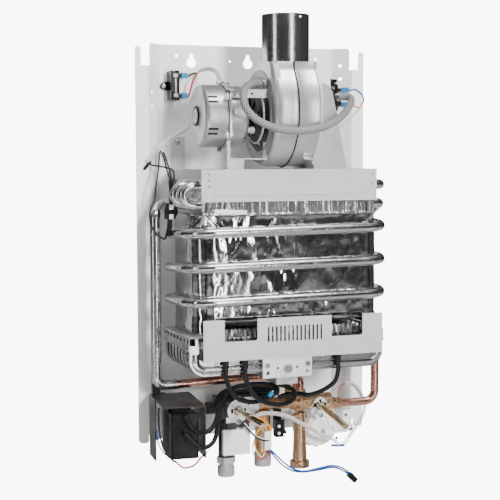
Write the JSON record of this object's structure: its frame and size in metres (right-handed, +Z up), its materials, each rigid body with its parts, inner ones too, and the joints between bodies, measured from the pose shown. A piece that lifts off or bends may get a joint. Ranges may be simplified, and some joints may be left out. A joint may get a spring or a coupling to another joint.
{
  "type": "tankless gas water heater",
  "caption": "Fan-flued gas water heater with its cover off: wall pan, extractor fan, finned exchanger, coil-wrapped chamber, burner, and gas and water valves.",
  "frame": {"origin": "centre of the back pan's wall face", "axes": "+Y into the wall, +Z up, +X to the right as seen from the front"},
  "size_m": [0.32, 0.199, 0.6082],
  "materials": {
    "white_enamel": "satin",
    "grey_paint": "satin",
    "polished_steel": "polished",
    "tinned_copper": "bright tin",
    "galvanised": "galvanised",
    "steel": "satin",
    "dark_steel": "laminated",
    "aluminium": "cast",
    "die_cast": "cast",
    "copper": "bright copper",
    "brass": "turned",
    "nickel_brass": "nickel plated",
    "black_plastic": "matt",
    "white_plastic": "matt",
    "clear_plastic": "milky",
    "blue_plastic": "gloss",
    "ceramic": "glazed",
    "black_rubber": "matt",
    "grey_rubber": "braided",
    "wire_red": "gloss",
    "wire_yellow": "gloss",
    "wire_blue": "gloss"
  },
  "bodies": {
    "heater": {"back_pan": "white_enamel", "flue_collar": "polished_steel", "scroll_left_shell": "grey_paint", "scroll_right_shell": "grey_paint", "suction_box": "grey_paint", "motor_rear_shell": "aluminium", "motor_front_shell": "aluminium", "motor_stator": "dark_steel", "motor_bushes": "brass", "motor_bracket": "galvanised", "motor_clamp_screws": "steel", "run_capacitor": "black_plastic", "terminal_sleeves": "blue_plastic", "capacitor_leads": "wire_red", "pressure_switch": "black_plastic", "pressure_hose": "grey_rubber", "hose_clips": "steel", "smoke_hood": "white_enamel", "fin_block": "tinned_copper", "fin_tubes": "tinned_copper", "combustion_chamber": "tinned_copper", "coil_pipe": "tinned_copper", "down_pipe": "tinned_copper", "hot_copper_pipe": "copper", "cold_copper_pipe": "copper", "burner_bars": "steel", "burner_rack": "galvanised", "burner_front_plate": "white_enamel", "gas_manifold": "die_cast", "gas_nozzles": "brass", "manifold_plate": "galvanised", "manifold_screws": "steel", "electrodes": "ceramic", "electrode_boots": "black_rubber", "ignition_leads": "black_rubber", "igniter_bracket": "galvanised", "igniter_box": "black_plastic", "gas_valve_body": "die_cast", "gas_knob_plate": "galvanised", "gas_union": "galvanised", "solenoid_box": "white_plastic", "brass_body": "brass", "water_knob_plate": "galvanised", "cold_inlet": "brass", "hot_outlet": "brass", "diaphragm_housing": "clear_plastic", "microswitch": "black_plastic", "overheat_switch": "black_plastic", "wire_connector": "white_plastic", "wire_harness": "wire_yellow", "lead_wire_left": "wire_blue", "lead_wire_right": "wire_blue", "lead_plug": "black_plastic"},
    "fan_rotor": {"motor_rotor": "steel", "impeller": "aluminium", "cooling_disc": "white_plastic"},
    "gas_control": {"gas_control_shaft": "nickel_brass"},
    "water_control": {"water_control_shaft": "nickel_brass"},
    "flow_rod": {"flow_rod": "steel"},
    "switch_lever": {"switch_lever": "steel"}
  },
  "joints": [
    {"name": "fan_spin", "type": "hinge", "parent": "heater", "child": "fan_rotor", "pos_m": [0, -0.082, 0.1645], "axis": [1, 0, 0], "continuous": true},
    {"name": "gas_turn", "type": "hinge", "parent": "heater", "child": "gas_control", "pos_m": [-0.051, -0.106, -0.208], "axis": [0, -1, 0], "range_deg": [-135, 135]},
    {"name": "water_turn", "type": "hinge", "parent": "heater", "child": "water_control", "pos_m": [0.061, -0.106, -0.208], "axis": [0, -0.9903, -0.1392], "range_deg": [-135, 135]},
    {"name": "flow_rod_slide", "type": "slide", "parent": "heater", "child": "flow_rod", "axis": [-1, 0, 0], "range_m": [0, 0.002], "stiffness_N_per_m": 150},
    {"name": "lever_swing", "type": "hinge", "parent": "heater", "child": "switch_lever", "pos_m": [0.0158, -0.095, -0.242], "axis": [0, -1, 0], "range_deg": [0, 7]}
  ],
  "couplings": [
    {"joint": "lever_swing", "follows": "flow_rod_slide", "rad_per_m": 52.6}
  ]
}
